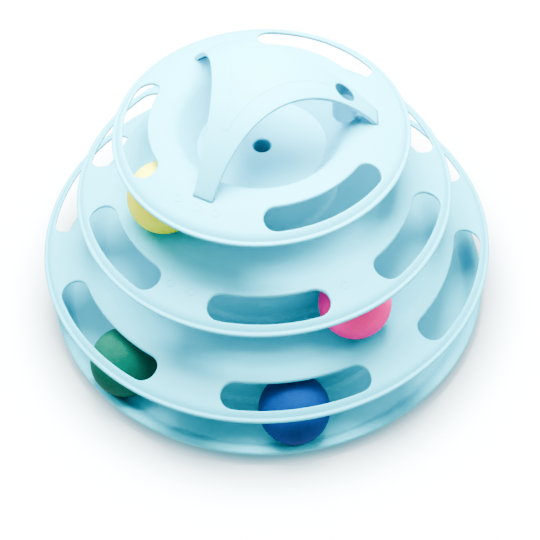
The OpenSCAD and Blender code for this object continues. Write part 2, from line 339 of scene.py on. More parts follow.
    def collar_loop(self, level: int) -> list[Vector]:
        """Draws the closed section of the collar on a drum, with its snap bead.

        Args:
            level: the level that the drum stands on.

        Returns:
            The points of the loop.
        """
        outer, inner = self.collar_r(level), self.collar_hole(level)
        low, high = self.seat_z(level) - self.wall, self.seat_z(level) + self.collar_h
        bead = Vector((outer - self.bead_r + self.bead_bite, high - 2 * self.bead_r))
        reach = math.degrees(math.acos((outer - bead.x) / self.bead_r))
        return [Vector((outer, low)), *arc(bead, self.bead_r, -reach, reach, FILLET_STEPS), Vector((outer, high)),
                Vector((inner, high)), Vector((inner, low))]


# Meshes

def turned(bm: bmesh.types.BMesh, angle: float, axis: str = "Z", verts: Optional[list] = None) -> None:
    """Turns a mesh, or some of its corners, about an axis through the origin."""
    bmesh.ops.rotate(bm, cent=(0, 0, 0), matrix=Matrix.Rotation(angle, 3, axis),
                     verts=bm.verts if verts is None else verts)


def shifted(bm: bmesh.types.BMesh, x: float, y: float, z: float) -> None:
    """Shifts a whole mesh."""
    bmesh.ops.translate(bm, vec=(x, y, z), verts=bm.verts)


def stretched(bm: bmesh.types.BMesh, x: float, y: float, z: float) -> None:
    """Scales a whole mesh about the origin."""
    bmesh.ops.scale(bm, vec=(x, y, z), verts=bm.verts)


def softened(bm: bmesh.types.BMesh, edges: list[bmesh.types.BMEdge], width: float, segments: int = 3,
             clamp: bool = False) -> None:
    """Rounds edges by a bevel of that width."""
    bmesh.ops.bevel(bm, geom=edges, offset=width, offset_type="OFFSET", segments=segments, profile=0.5,
                    affect="EDGES", clamp_overlap=clamp, material=-1)


def merged(bm: bmesh.types.BMesh) -> None:
    """Joins corners that lie on one another."""
    bmesh.ops.remove_doubles(bm, verts=bm.verts, dist=MERGE_MM)


def repeated(bm: bmesh.types.BMesh, count: int) -> None:
    """Copies a mesh round the axis until there are that many of it, and joins the copies.

    Args:
        bm: the mesh of one period.
        count: how many there are in the full turn.
    """
    period = list(bm.verts) + list(bm.edges) + list(bm.faces)
    for i in range(1, count):
        copy = bmesh.ops.duplicate(bm, geom=period)["geom"]
        turned(bm, math.tau * i / count, verts=[item for item in copy if isinstance(item, bmesh.types.BMVert)])
    merged(bm)


def spun(bm: bmesh.types.BMesh, steps: int) -> bmesh.types.BMesh:
    """Sweeps a section round the Z axis.

    Args:
        bm: a mesh that holds the section's corners and edges only.
        steps: segments in the full turn.

    Returns:
        The same mesh, closed and with its faces outwards.
    """
    bmesh.ops.spin(bm, geom=list(bm.verts) + list(bm.edges), cent=(0, 0, 0), axis=(0, 0, 1), angle=math.tau,
                   steps=steps, use_merge=True, use_duplicate=False)
    merged(bm)
    bmesh.ops.recalc_face_normals(bm, faces=bm.faces)
    return bm


def lathed(line: Sequence[Vector], steps: int) -> bmesh.types.BMesh:
    """Turns a solid on the Z axis.

    Args:
        line: its section, from the axis round to the axis again.
        steps: segments in the full turn.

    Returns:
        The mesh.
    """
    bm = bmesh.new()
    verts = [bm.verts.new((point.x, 0, point.y)) for point in line]
    for pair in zip(verts, verts[1:]):
        bm.edges.new(pair)
    return spun(bm, steps)


def added(whole: bmesh.types.BMesh, part: bmesh.types.BMesh) -> None:
    """Moves a part into a larger mesh.

    Args:
        whole: the mesh that takes the part.
        part: the part, which is freed.
    """
    mesh = bpy.data.meshes.new("part")
    part.to_mesh(mesh)
    part.free()
    whole.from_mesh(mesh)
    bpy.data.meshes.remove(mesh)


@dataclass(frozen=True)
class Windows:
    """Arc windows with round ends, evenly spaced round a tier."""
    count: int
    bearing: float
    span: float
    outer_r: float
    inner_r: float
    edge_ring: float = 1.0
    edge_round: float = 0.85
    edge_segments: int = 4
    straight_steps: int = 20
    land_steps: int = 14
    end_steps: int = 12

    @property
    def middle_r(self) -> float:
        """Radius of the windows' middle line."""
        return (self.outer_r + self.inner_r) / 2

    @property
    def end_r(self) -> float:
        """Radius of the round ends."""
        return (self.outer_r - self.inner_r) / 2

    @property
    def straight_half(self) -> float:
        """Angle from a window's middle to the centre of its round end."""
        return self.span / 2 - math.degrees(math.asin(self.end_r / self.middle_r))

    @property
    def period(self) -> float:
        """Angle from one window to the next."""
        return 360 / self.count

    def rows(self) -> list[float]:
        """Returns the radii of the mesh rows across the windows, from the outside in."""
        reach = self.end_r + self.edge_ring
        return [self.middle_r + reach * math.cos(math.pi * i / self.end_steps) for i in range(self.end_steps + 1)]

    def bulge(self, radius: float) -> float:
        """Finds how far the ring round a window's end reaches past its centre.

        Args:
            radius: the radius at which this is measured.

        Returns:
            The angle in degrees.
        """
        reach = self.end_r + self.edge_ring
        cosine = (radius ** 2 + self.middle_r ** 2 - reach ** 2) / (2 * radius * self.middle_r)
        return math.degrees(math.acos(min(1.0, cosine)))

    def column(self, index: int, radius: Optional[float]) -> float:
        """Finds where a mesh column stands within one period.

        Args:
            index: the column, counted from the start of a window's straight part.
            radius: the row's radius, or None for a row that no window crosses.

        Returns:
            The bearing in degrees from the window's middle.
        """
        bulge = 0.0 if radius is None else self.bulge(radius)
        if index == 0:
            return -self.straight_half - bulge
        if index < self.straight_steps:
            return self.straight_half * (2 * index / self.straight_steps - 1)
        share = (index - self.straight_steps) / self.land_steps
        left = self.straight_half + bulge
        return left + (self.period - 2 * left) * share

    def nearest(self, x: float, y: float) -> int:
        """Returns the number of the window that is nearest to a point."""
        return round((math.degrees(math.atan2(y, x)) - self.bearing) / self.period) % self.count

    def edge_point(self, x: float, y: float) -> Vector:
        """Draws a point of the mesh ring round a window in to the window's outline.

        Args:
            x: where the point is.
            y: where the point is.

        Returns:
            The point on the outline.
        """
        bearing = math.degrees(math.atan2(y, x)) - self.bearing
        turn = round(bearing / self.period) * self.period
        local = max(-self.straight_half, min(self.straight_half, bearing - turn))
        spine = polar(self.middle_r, local + turn + self.bearing)
        return spine + (Vector((x, y)) - spine).normalized() * self.end_r


class RevolvedShell:
    """A mesh in millimetres made of closed sections that turn about the tower's axis."""

    def __init__(self, columns: int = 180) -> None:
        """Starts empty, with that many columns round a plain ring."""
        self.bm = bmesh.new()
        self.columns = columns

    def plain(self, loop: Sequence[Vector]) -> None:
        """Adds a plain ring.

        Args:
            loop: the points of its closed section.
        """
        part = self._grid(len(loop), self.columns)
        for vert in part.verts:
            row, col = self._index(vert, len(loop), self.columns)
            point = loop[row % len(loop)]
            vert.co = (*polar(point.x, 360 * col / self.columns), point.y)
        merged(part)
        added(self.bm, part)

    def windowed(self, top: Sequence[Vector], low: Sequence[Vector], lip: Sequence[Vector],
                 windows: Windows) -> None:
        """Adds a shell with windows cut through it.

        Args:
            top: the upper line from the lip inwards.
            low: the lower line from the lip inwards.
            lip: the points round the lip, from the lower line to the upper one.
            windows: the windows.
        """
        rows = windows.rows()
        upper, upper_row = self._with_rows(top, rows)
        lower, lower_row = self._with_rows(low, rows)
        loop = upper + lower[::-1] + list(lip)
        belts = (upper_row, len(upper) + len(lower) - lower_row - len(rows))
        steps = windows.straight_steps + windows.land_steps
        part = self._grid(len(loop), steps)
        holes = [face for face in part.faces if self._in_window(face, belts, windows)]
        bmesh.ops.delete(part, geom=holes, context="FACES")
        for vert in part.verts:
            row, col = self._index(vert, len(loop), steps)
            point = loop[row % len(loop)]
            crossed = any(first <= row < first + len(rows) for first in belts)
            bearing = windows.bearing + windows.column(col, point.x if crossed else None)
            vert.co = (*polar(point.x, bearing), point.y)
        repeated(part, windows.count)
        self._close_windows(part, top, low, windows)
        merged(part)
        added(self.bm, part)

    def finish(self) -> bmesh.types.BMesh:
        """Finishes the shell.

        Returns:
            The whole mesh in metres, with its faces outwards.
        """
        bmesh.ops.recalc_face_normals(self.bm, faces=self.bm.faces)
        stretched(self.bm, MM, MM, MM)
        return self.bm

    @staticmethod
    def _grid(rows: int, columns: int) -> bmesh.types.BMesh:
        """Makes a flat grid whose corners stand at whole numbers.

        Args:
            rows: faces along Y.
            columns: faces along X.

        Returns:
            The mesh.
        """
        part = bmesh.new()
        bmesh.ops.create_grid(part, x_segments=columns, y_segments=rows, size=0.5)
        shifted(part, 0.5, 0.5, 0)
        stretched(part, columns, rows, 1)
        return part

    @staticmethod
    def _index(vert: bmesh.types.BMVert, rows: int, columns: int) -> tuple[int, int]:
        """Returns the row and column of a corner of the grid."""
        return min(rows, round(vert.co.y)), min(columns, round(vert.co.x))

    @staticmethod
    def _with_rows(line: Sequence[Vector], rows: Sequence[float], spare: float = 0.15) -> tuple[list[Vector], int]:
        """Swaps a line's points across the windows for points at the mesh rows.

        Args:
            line: the points of the line, from the outside in.
            rows: the radii of the rows.
            spare: how near a point of the line may stand to the outermost or innermost row.

        Returns:
            The new line, and the index of its first row.
        """
        split = next(i for i, point in enumerate(line) if point.x < rows[-1] - spare)
        outside = [point for point in line[:split] if point.x > rows[0] + spare]
        return outside + [Vector((r, height_at(line, r))) for r in rows] + list(line[split:]), len(outside)

    @staticmethod
    def _in_window(face: bmesh.types.BMFace, belts: Sequence[int], windows: Windows) -> bool:
        """Says whether a face of the flat grid lies in a window, for belts of rows that start at those numbers."""
        middle = face.calc_center_median()
        return middle.x < windows.straight_steps and any(
            first < middle.y < first + windows.end_steps for first in belts)

    @staticmethod
    def _close_windows(part: bmesh.types.BMesh, top: Sequence[Vector], low: Sequence[Vector],
                       windows: Windows) -> None:
        """Draws each window's mesh ring in to its outline, joins its two faces and rounds the edges.

        Args:
            part: the shell.
            top: the upper line of its section.
            low: the lower line of its section.
            windows: the windows.
        """
        rings = [edge for edge in part.edges if edge.is_boundary]
        drawn = bmesh.ops.extrude_edge_only(part, edges=rings)["geom"]
        for vert in (item for item in drawn if isinstance(item, bmesh.types.BMVert)):
            radius = math.hypot(vert.co.x, vert.co.y)
            upper = abs(vert.co.z - height_at(top, radius)) < abs(vert.co.z - height_at(low, radius))
            place = windows.edge_point(vert.co.x, vert.co.y)
            vert.co = (*place, height_at(top if upper else low, place.length))
        outline = [edge for edge in part.edges if edge.is_boundary]
        numbers = {edge: windows.nearest(*((edge.verts[0].co + edge.verts[1].co) / 2).xy) for edge in outline}
        for number in range(windows.count):
            bmesh.ops.bridge_loops(part, edges=[edge for edge in outline if numbers[edge] == number])
        softened(part, outline, windows.edge_round, windows.edge_segments, clamp=True)


def solid_object(name: str, bm: bmesh.types.BMesh, material: bpy.types.Material,
                 sharp: float = SHARP_DEGREES) -> bpy.types.Object:
    """Makes a smooth-shaded object from a mesh in metres.

    Args:
        name: the object's name.
        bm: the mesh, which is freed.
        material: its finish.
        sharp: angle in degrees past which an edge stays sharp.

    Returns:
        The object, in the scene.
    """
    mesh = bpy.data.meshes.new(name)
    bm.to_mesh(mesh)
    bm.free()
    mesh.materials.append(material)
    smoothed(mesh, sharp)
    piece = bpy.data.objects.new(name, mesh)
    bpy.context.scene.collection.objects.link(piece)
    weighted = piece.modifiers.new("weighted_normals", "WEIGHTED_NORMAL")
    weighted.keep_sharp = True
    LOG.info("%s: %d faces", name, len(mesh.polygons))
    return piece


def smoothed(mesh: bpy.types.Mesh, sharp: float = SHARP_DEGREES) -> None:
    """Shades a mesh smooth, but for edges past an angle.

    Args:
        mesh: the mesh.
        sharp: the angle in degrees.
    """
    for face in mesh.polygons:
        face.use_smooth = True
    mesh.set_sharp_from_angle(angle=math.radians(sharp))


class Way(Enum):
    """The ways in which one solid changes another."""
    JOIN = "UNION"
    CUT = "DIFFERENCE"
    TRIM = "INTERSECT"


def combined(piece: bpy.types.Object, other: bpy.types.Object, way: Way) -> None:
    """Changes a piece by another solid.

    Args:
        piece: the piece, whose mesh is changed.
        other: the other solid, which is then removed.
        way: whether it is joined on, cut out, or trims the piece to what they share.
    """
    step = piece.modifiers.new("combine", "BOOLEAN")
    step.operation = way.value
    step.solver = "EXACT"
    step.object = other
    bpy.context.view_layer.update()
    result = bpy.data.meshes.new_from_object(piece.evaluated_get(bpy.context.evaluated_depsgraph_get()))
    piece.modifiers.remove(step)
    old = piece.data
    piece.data = result
    bpy.data.meshes.remove(old)
    bpy.data.objects.remove(other)


def declared(piece: bpy.types.Object, body: str, slot: str, *nodes: str) -> bpy.types.Object:
    """Says how a piece belongs to the toy.

    Args:
        piece: the piece.
        body: the body that it moves with.
        slot: not used.
        nodes: the solids that it stands for, if any.

    Returns:
        The piece.
    """
    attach(piece, body)
    if nodes:
        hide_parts(*nodes)
    return piece


# Finishes

class Shade:
    """A number that changes over a surface, with Python's operators."""

    def __init__(self, tree: bpy.types.NodeTree, socket: bpy.types.NodeSocket) -> None:
        """Wraps an output socket of a tree."""
        self.tree = tree
        self.socket = socket

    def _math(self, operation: str, first: "Shade | float", second: "Shade | float") -> "Shade":
        """Adds one Math node.

        Args:
            operation: what it does.
            first: its first value.
            second: its second value.

        Returns:
            The result.
        """
        node = self.tree.nodes.new("ShaderNodeMath")
        node.operation = operation
        for slot, value in zip(node.inputs, (first, second)):
            if isinstance(value, Shade):
                self.tree.links.new(value.socket, slot)
            else:
                slot.default_value = value
        return Shade(self.tree, node.outputs[0])

    def __add__(self, other: "Shade | float") -> "Shade":
        """Returns the sum."""
        return self._math("ADD", self, other)

    def __radd__(self, other: float) -> "Shade":
        """Returns the sum with a plain number first."""
        return self._math("ADD", other, self)

    def __sub__(self, other: "Shade | float") -> "Shade":
        """Returns the difference."""
        return self._math("SUBTRACT", self, other)

    def __rsub__(self, other: float) -> "Shade":
        """Returns a plain number less this one."""
        return self._math("SUBTRACT", other, self)

    def __mul__(self, other: "Shade | float") -> "Shade":
        """Returns the product."""
        return self._math("MULTIPLY", self, other)

    def __rmul__(self, other: float) -> "Shade":
        """Returns the product with a plain number first."""
        return self._math("MULTIPLY", other, self)

    def __pow__(self, other: float) -> "Shade":
        """Returns this number to a power."""
        return self._math("POWER", self, other)


class Finish:
    """A procedural material under construction."""

    def __init__(self, name: str, colour: Colour, roughness: float, plain: dict[str, object]) -> None:
        """Starts a material with one Principled shader.

        Args:
            name: the material's name.
            colour: its base colour, linear.
            roughness: its roughness where nothing varies it.
            plain: the shader's other values, which are the same all over.
        """
        self.material = bpy.data.materials.new(name)
        self.material.use_nodes = True
        self.material.diffuse_color = (*colour, 1)
        self.tree = self.material.node_tree
        self.shader = next(n for n in self.tree.nodes if n.type == "BSDF_PRINCIPLED")
        for key, value in {"Base Color": (*colour, 1), "Roughness": roughness, **plain}.items():
            self.shader.inputs[key].default_value = value
        self.place = self.node("ShaderNodeTexCoord", {}, {}).outputs["Object"]

    def node(self, kind: str, settings: dict[str, object], inputs: dict[int | str, object]) -> bpy.types.Node:
        """Adds any node but a Math node.

        Args:
            kind: the node's type.
            settings: its properties, which are set first.
            inputs: values or links for its sockets, by their names or numbers.

        Returns:
            The node.
        """
        made = self.tree.nodes.new(kind)
        for key, value in settings.items():
            setattr(made, key, value)
        for key, value in inputs.items():
            self._give(made.inputs[key], value)
        return made

    def feed(self, name: str, value: "Shade | bpy.types.NodeSocket") -> None:
        """Feeds a socket of the shader."""
        self._give(self.shader.inputs[name], value)

    def _give(self, slot: bpy.types.NodeSocket, value: object) -> None:
        """Links a socket to another, or sets its plain value.

        Args:
            slot: the socket that is fed.
            value: a number, a colour, or what it is linked to.
        """
        if isinstance(value, Shade):
            value = value.socket
        if isinstance(value, bpy.types.NodeSocket):
            self.tree.links.new(value, slot)
        else:
            slot.default_value = value

    def noise(self, size_mm: float, detail: float = SOFT) -> Shade:
        """Returns soft noise from 0 to 1 whose lumps are about that size."""
        made = self.node("ShaderNodeTexNoise", {}, {"Vector": self.place, "Scale": 1 / (size_mm * MM),
                                                    "Detail": detail, "Roughness": 0.5})
        return Shade(self.tree, made.outputs[0])

    def specks(self, spacing_mm: float, share: float, core: float = 0.5) -> Shade:
        """Scatters small round specks.

        Args:
            spacing_mm: the distance between neighbouring specks.
            share: a speck's radius as a share of the spacing.
            core: the part of that radius inside which a speck is full.

        Returns:
            A mask that is 1 inside the specks and 0 between them.
        """
        cells = self.node("ShaderNodeTexVoronoi", {"feature": "F1"},
                          {"Vector": self.place, "Scale": 1 / (spacing_mm * MM)})
        return self.fade(Shade(self.tree, cells.outputs["Distance"]), share, share * core)

    def fade(self, value: Shade, low: float, high: float) -> Shade:
        """Returns 0 where value is at low, 1 at high, and a smooth step between them."""
        made = self.node("ShaderNodeMapRange", {"interpolation_type": "SMOOTHSTEP"},
                         {"Value": value, "From Min": low, "From Max": high})
        return Shade(self.tree, made.outputs[0])

    def mixed(self, mask: Shade, first: object, second: object) -> bpy.types.NodeSocket:
        """Mixes two colours.

        Args:
            mask: how much of the second there is.
            first: a colour or a link to one.
            second: a colour or a link to one.

        Returns:
            The link to the mixed colour.
        """
        first, second = (tint if isinstance(tint, bpy.types.NodeSocket) else (*tint, 1) for tint in (first, second))
        return self.node("ShaderNodeMix", {"data_type": "RGBA"}, {0: mask, 6: first, 7: second}).outputs[2]

    def bump(self, height: Shade, depth_mm: float) -> None:
        """Gives the surface a relief that deep."""
        made = self.node("ShaderNodeBump", {}, {"Height": height, "Strength": 1.0, "Distance": depth_mm * MM})
        self.feed("Normal", made.outputs[0])


@dataclass(frozen=True)
class Bore:
    """The painted shade inside an upright bore: its axis, radius, floor and mouth, and how its ends fade."""
    x: float
    y: float
    radius: float
    low: float
    mouth: float
    wall_fade: tuple[float, float] = (0.5, 0.1)
    mouth_fade: float = 2.0
    low_fade: tuple[float, float] = (0.4, 0.2)

    def mask(self, finish: Finish) -> Shade:
        """Marks the bore's painted shade on a finish.

        Args:
            finish: the finish.

        Returns:
            A mask that is 1 inside the bore and 0 elsewhere.
        """
        parts = finish.node("ShaderNodeSeparateXYZ", {}, {"Vector": finish.place}).outputs
        x, y, z = (Shade(finish.tree, part) * (1 / MM) for part in parts)
        away = ((x - self.x) ** 2.0 + (y - self.y) ** 2.0) ** 0.5
        inside = finish.fade(away, *(self.radius + reach for reach in self.wall_fade))
        under = finish.fade(z, self.mouth, self.mouth - self.mouth_fade)
        return inside * under * finish.fade(z, *(self.low - reach for reach in self.low_fade))


@dataclass(frozen=True)
class MouldedPlastic:
    """Semi-gloss injection moulded plastic, with faint flow marks, a soft satin grain and painted shade inside the
    bores.
    """
    name: str = PLASTIC
    tint: Colour = (0.0, 0.43, 0.56)
    deep: Colour = (0.0, 0.41, 0.545)
    # Bores whose insides get painted shade, and the deep teal colour of that painted shade.
    shaded_bores: tuple[Bore, ...] = (Bore(43.5, -0.38, 4.8, 147.1, 168.0), Bore(0.0, 0.0, 4.8, 95.0, 118.0))
    bore_shade_tint: Colour = (0.0, 0.18, 0.27)
    roughness: float = 0.34
    ior: float = 1.49
    specular: float = 0.06
    scatter: float = 0.1
    scatter_share: Colour = (0.6, 1.0, 1.0)
    scatter_mm: float = 2.0
    flow_mm: float = 45.0
    flow_band: tuple[float, float] = (0.3, 0.75)
    flow_share: float = 0.5
    wave_mm: float = 6.0
    wave_relief: float = 0.5
    grain_mm: float = 0.35
    grain_relief: float = 0.5
    relief_mm: float = 0.012
    gloss: float = 0.04
    flow_matt: float = 0.06
    grain_matt: float = 0.05

    def build(self) -> bpy.types.Material:
        """Makes the finish.

        Returns:
            The material.
        """
        finish = Finish(self.name, self.tint, self.roughness, {
            "IOR": self.ior, "Specular IOR Level": self.specular, "Subsurface Weight": self.scatter,
            "Subsurface Radius": self.scatter_share, "Subsurface Scale": self.scatter_mm * MM})
        flow, grain = finish.noise(self.flow_mm, RICH), finish.noise(self.grain_mm)
        wave = finish.noise(self.wave_mm, PLAIN)
        colour = finish.mixed(finish.fade(flow, *self.flow_band) * self.flow_share, self.tint, self.deep)
        # Painted shade: the insides of the bores are darkened towards a deep teal.
        for bore in self.shaded_bores:
            colour = finish.mixed(bore.mask(finish), colour, self.bore_shade_tint)
        finish.feed("Base Color", colour)
        finish.feed("Roughness", self.roughness - self.gloss + flow * self.flow_matt + grain * self.grain_matt)
        finish.bump(grain * self.grain_relief + wave * self.wave_relief, self.relief_mm)
        return finish.material


@dataclass(frozen=True)
class Specks:
    """Specks of one kind: how far apart, how wide as a share of that, and how strong."""
    spacing_mm: float
    share: float
    strength: float


@dataclass(frozen=True)
class SpeckledBall:
    """Matt plastic with fine light and dark specks."""
    name: str
    tint: Colour
    dark: Colour
    light: Colour
    roughness: float = 0.55
    specular: float = 0.02
    scatter: float = 0.08
    scatter_mm: float = 1.5
    cloud_mm: float = 9.0
    cloud_band: tuple[float, float] = (0.35, 0.7)
    cloud_share: float = 0.35
    dark_specks: Specks = Specks(0.9, 0.34, 0.55)
    light_specks: Specks = Specks(1.3, 0.22, 0.6)
    grain_mm: float = 0.5
    grain_matt: float = 0.15
    relief_mm: float = 0.03

    def build(self) -> bpy.types.Material:
        """Makes the finish.

        Returns:
            The material.
        """
        finish = Finish(self.name, self.tint, self.roughness, {
            "Specular IOR Level": self.specular, "Subsurface Weight": self.scatter,
            "Subsurface Scale": self.scatter_mm * MM})
        cloud, grain = finish.noise(self.cloud_mm, RICH), finish.noise(self.grain_mm)
        colour = finish.mixed(finish.fade(cloud, *self.cloud_band) * self.cloud_share, self.tint, self.dark)
        for specks, tint in ((self.dark_specks, self.dark), (self.light_specks, self.light)):
            mask = finish.specks(specks.spacing_mm, specks.share) * specks.strength
            colour = finish.mixed(mask, colour, tint)
        finish.feed("Base Color", colour)
        finish.feed("Roughness", self.roughness + grain * self.grain_matt)
        finish.bump(grain, self.relief_mm)
        return finish.material


@dataclass(frozen=True)
class PadRubber:
    """Soft grey rubber with a fine matt grain."""
    name: str = "pad_rubber"
    tint: Colour = (0.28, 0.31, 0.33)
    worn: float = 0.8
    roughness: float = 0.75
    grain_mm: float = 0.4
    grain_matt: float = 0.1
    relief_mm: float = 0.05

    def build(self) -> bpy.types.Material:
        """Makes the finish.

        Returns:
            The material.
        """
        finish = Finish(self.name, self.tint, self.roughness, {})
        grain = finish.noise(self.grain_mm, RICH)
        finish.feed("Base Color", finish.mixed(grain, self.tint, tuple(c * self.worn for c in self.tint)))
        finish.feed("Roughness", self.roughness + grain * self.grain_matt)
        finish.bump(grain, self.relief_mm)
        return finish.material


class BallLook(Enum):
    """The four balls: base colour, dark specks, light specks, and the pole of the parting line."""
    YELLOW = ((0.66, 0.72, 0.0), (0.55, 0.59, 0.0), (0.74, 0.79, 0.005), (0.1, -0.6, 0.8))
    PINK = ((0.86, 0.002, 0.23), (0.66, 0.001, 0.15), (0.92, 0.03, 0.32), (-0.1, -0.6, 0.8))
    GREEN = ((0.0, 0.072, 0.047), (0.0, 0.042, 0.028), (0.002, 0.12, 0.085), (0.05, -0.65, 0.75))
    BLUE = ((0.0, 0.026, 0.13), (0.0, 0.013, 0.075), (0.004, 0.05, 0.20), (0.0, -0.65, 0.75))


# Sub-assemblies

@dataclass
class Tray:
    """The base tray with its drum and collar."""
    sizes: TowerSizes
    material: bpy.types.Material

    def build(self) -> bpy.types.Object:
        """Builds the tray.

        Returns:
            The piece, which stands for the tray's solid.
        """
        s = self.sizes
        r, z = s.rim_r(0) - s.tray_inset, s.tray_z
        top = [Vector((r - s.lip_r, z + s.lip_r))]
        top += eased(Vector((r - s.lip_w, z + s.lip_r)), Vector((r - s.lip_w - s.tray_run, s.foot_lift + s.wall)),
                     WALL_STEPS)
        top += s.drum_line(0, s.seat_z(0), s.collar_hole(0))
        shell = RevolvedShell()
        shell.plain(top + moved(top, s.wall)[::-1] + s.lip_arc(r, z))
        shell.plain(s.collar_loop(0))
        return declared(solid_object("tray_shell", shell.finish(), self.material), TOWER, PLASTIC, "base_tray")


@dataclass
class RingTier:
    """The lower or the middle tier: rim, windows, track floor and drum."""
    sizes: TowerSizes
    material: bpy.types.Material
    tier: int
    node: str
    bearing: float
    seat: float
    hole_r: float
    has_collar: bool
    span: float = 41.0
    count: int = 6

    def build(self) -> bpy.types.Object:
        """Builds the tier.

        Returns:
            The piece, which stands for the tier's solid.
        """
        s, level = self.sizes, self.tier + 1
        r, z, crest = s.rim_r(self.tier), s.rim_z(self.tier), s.crest(self.tier)
        top = s.rim_line(self.tier)
        top += eased(crest, Vector((crest.x - s.valley_run, s.track_z(level))), CURVE_STEPS)[1:]
        top += s.drum_line(level, self.seat, self.hole_r)
        windows = Windows(self.count, self.bearing, self.span, r - s.window_out, r - s.window_out - s.window_w)
        shell = RevolvedShell()
        shell.windowed(top, moved(top, s.wall), s.lip_arc(r, z), windows)
        if self.has_collar:
            shell.plain(s.collar_loop(level))
        name = self.node.replace("tier", "shell")
        return declared(solid_object(name, shell.finish(), self.material), TOWER, PLASTIC, self.node)


@dataclass
class TopTier:
    """The top tier: rim, three long windows, leg slots, bowl and wand socket."""
    sizes: TowerSizes
    material: bpy.types.Material
    bearing: float = -0.5
    span: float = 60.5
    brim_r: float = 11.0
    bowl_slope: float = 58.5
    bowl_depth: float = 10.3
    disc_margin: float = 0.4
    disc_groove: float = 0.5
    edge_r: float = 0.35
    window_out: float = 5.9
    window_w: float = 13.4
    window_steps: int = 36
    land_steps: int = 44
    socket_l: float = 16.0
    mouth_chamfer: float = 0.7
    leg_inset: float = 17.9
    leg_w: float = 11.0
    leg_gap: float = 0.3
    slot_round: float = 0.5
    cutter_walls: float = 6.0
    cutter_lift: float = 2.0
    bar_t: float = 2.4

    @property
    def tier(self) -> int:
        """The number of the top tier."""
        return self.sizes.tiers - 1

    @property
    def bowl_z(self) -> float:
        """Height of the disc in the bowl's floor."""
        return self.sizes.rim_z(self.tier) - self.bowl_depth

    @property
    def groove_z(self) -> float:
        """Height of the bowl's floor round the disc."""
        return self.bowl_z - self.disc_groove

    @property
    def bowl_low(self) -> float:
        """Height of the underside of the bowl's floor."""
        return self.groove_z - self.sizes.wall

    @property
    def plug_r(self) -> float:
        """Outer radius of the skirt that plugs into the drum below."""
        return (self.sizes.drum_r(self.tier) + self.sizes.socket_r) / 2

    @property
    def leg_reach(self) -> float:
        """Distance of the bar's legs from the axis."""
        return self.sizes.rim_r(self.tier) - self.leg_inset

    def bowl_line(self) -> list[Vector]:
        """Draws the top line from the crest over the brim to the foot of the bowl's wall.

        Returns:
            The points from the outside in.
        """
        centre = self.sizes.crest(self.tier) - Vector((0, self.brim_r))
        brim = arc(centre, self.brim_r, 90, 90 + self.bowl_slope, WALL_STEPS)[1:]
        run = (brim[-1].y - self.bowl_z + self.disc_groove) / math.tan(math.radians(self.bowl_slope))
        return brim + [Vector((brim[-1].x - run, self.groove_z))]

    def floor_line(self, foot_r: float) -> list[Vector]:
        """Draws the line over the raised disc, down the socket and back out under the floor.

        Args:
            foot_r: the radius of the foot of the bowl's wall.

        Returns:
            The points in that order.
        """
        s, edge = self.sizes, self.edge_r
        end = self.bowl_low + s.wall - self.socket_l
        plug_in, plug_end = self.plug_r - s.wall, self.bowl_low - s.collar_h
        return rounded([
            (foot_r - self.disc_margin, self.groove_z, 0), (foot_r - self.disc_margin, self.bowl_z, edge),
            (s.bore_r + self.mouth_chamfer, self.bowl_z, edge), (s.bore_r, self.bowl_z - self.mouth_chamfer, edge),
            (s.bore_r, end, edge), (s.socket_r, end, edge), (s.socket_r, self.bowl_low, edge),
            (plug_in, self.bowl_low, edge), (plug_in, plug_end, edge),
            (self.plug_r, plug_end, edge), (self.plug_r, self.bowl_low, 0)])

    def build(self) -> bpy.types.Object:
        """Builds the tier.

        Returns:
            The piece, which stands for the tier's solid.
        """
        s = self.sizes
        r, z = s.rim_r(self.tier), s.rim_z(self.tier)
        outside = s.rim_line(self.tier) + self.bowl_line()
        low = moved(outside + [Vector((s.bore_r, outside[-1].y))], s.wall)[:-1]
        windows = Windows(LEGS, self.bearing + LEG_HALF, self.span, r - self.window_out,
                          r - self.window_out - self.window_w, straight_steps=self.window_steps,
                          land_steps=self.land_steps)
        shell = RevolvedShell()
        shell.windowed(outside + self.floor_line(outside[-1].x), low, s.lip_arc(r, z), windows)
        piece = solid_object("top_shell", shell.finish(), self.material)
        for leg in range(LEGS):
            combined(piece, self.leg_cutter(leg), Way.CUT)
        return declared(piece, TOWER, PLASTIC, "top_tier")

    def leg_cutter(self, leg: int) -> bpy.types.Object:
        """Makes the block that cuts one leg's slot.

        Args:
            leg: the leg's number.

        Returns:
            The block.
        """
        s = self.sizes
        inner, outer = self.leg_reach - self.bar_t - self.leg_gap, self.leg_reach + self.leg_gap
        block = bmesh.new()
        bmesh.ops.create_cube(block, size=1.0)
        stretched(block, outer - inner, self.leg_w + 2 * self.leg_gap, self.cutter_walls * s.wall)
        upright = [edge for edge in block.edges if abs(edge.verts[0].co.z - edge.verts[1].co.z) > s.wall]
        softened(block, upright, self.slot_round)
        shifted(block, (inner + outer) / 2, 0, s.rim_z(self.tier) + self.cutter_lift * s.wall)
        turned(block, math.radians(self.bearing + leg * 2 * LEG_HALF))
        stretched(block, MM, MM, MM)
        return solid_object("leg_cutter", block, self.material)


